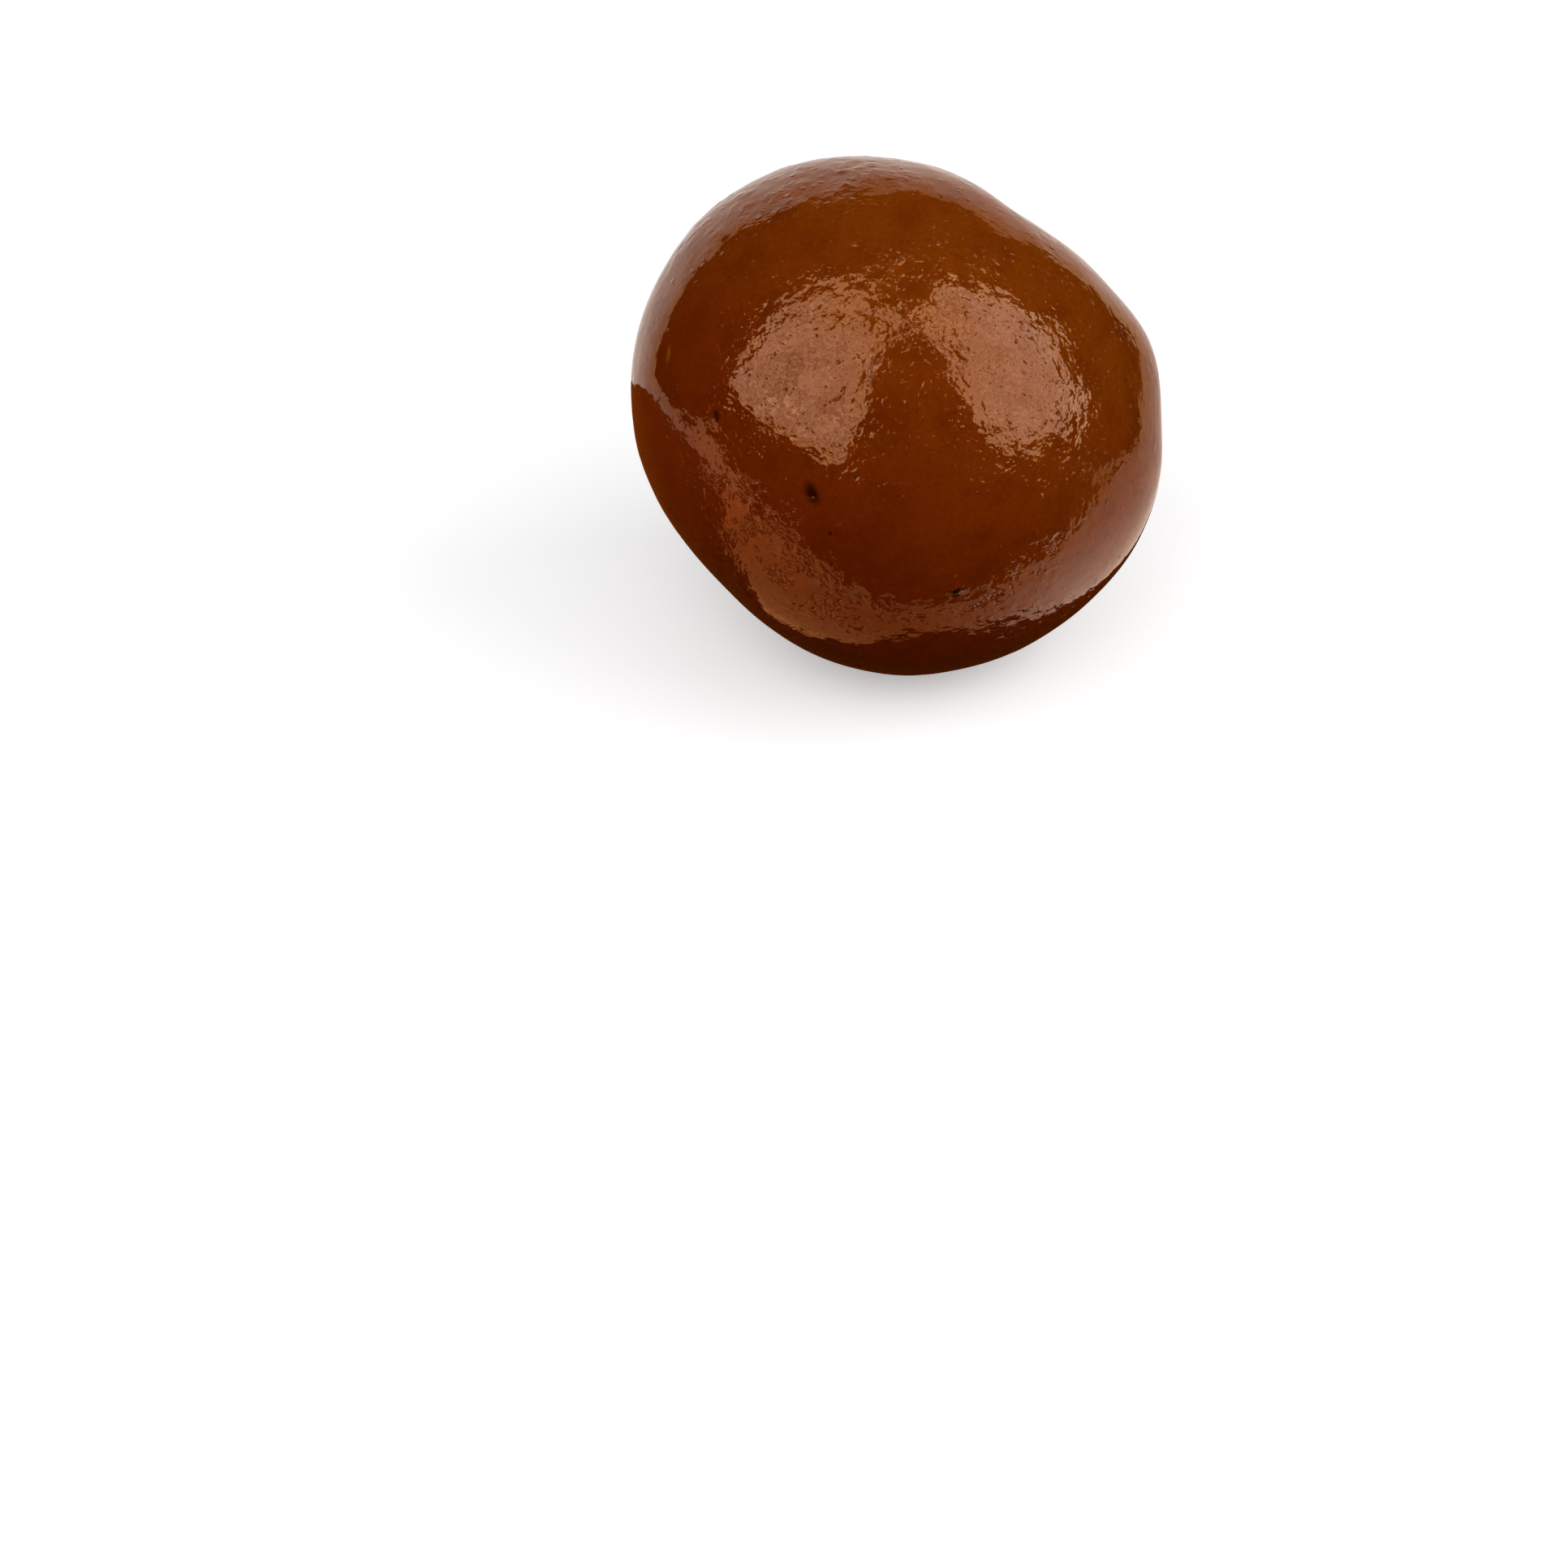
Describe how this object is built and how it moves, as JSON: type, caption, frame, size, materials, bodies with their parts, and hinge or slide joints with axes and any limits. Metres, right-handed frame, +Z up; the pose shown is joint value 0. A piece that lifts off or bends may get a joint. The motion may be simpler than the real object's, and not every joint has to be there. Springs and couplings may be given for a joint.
{
  "type": "gulab jamun",
  "caption": "One round, slightly uneven fried milk dough ball soaked in syrup, solid right through, with a hollow shoulder and a small flat resting spot; eaten as a sweet.",
  "frame": {"origin": "on the floor under the middle of the ball's box, at the small flat spot it rests on", "axes": "+Z up from the flat spot; the front, which the picture shows, faces -Y; +X is to the right as seen from the front"},
  "size_m": [0.0432, 0.042, 0.0413],
  "materials": {
    "syrup_soaked_dough": "deep caramel brown fried milk dough, wet with clear syrup: glossy, with fine orange-peel wrinkles and a few dark specks and pits"
  },
  "bodies": {
    "root": {"gulab_jamun_ball": "syrup_soaked_dough"}
  },
  "joints": []
}
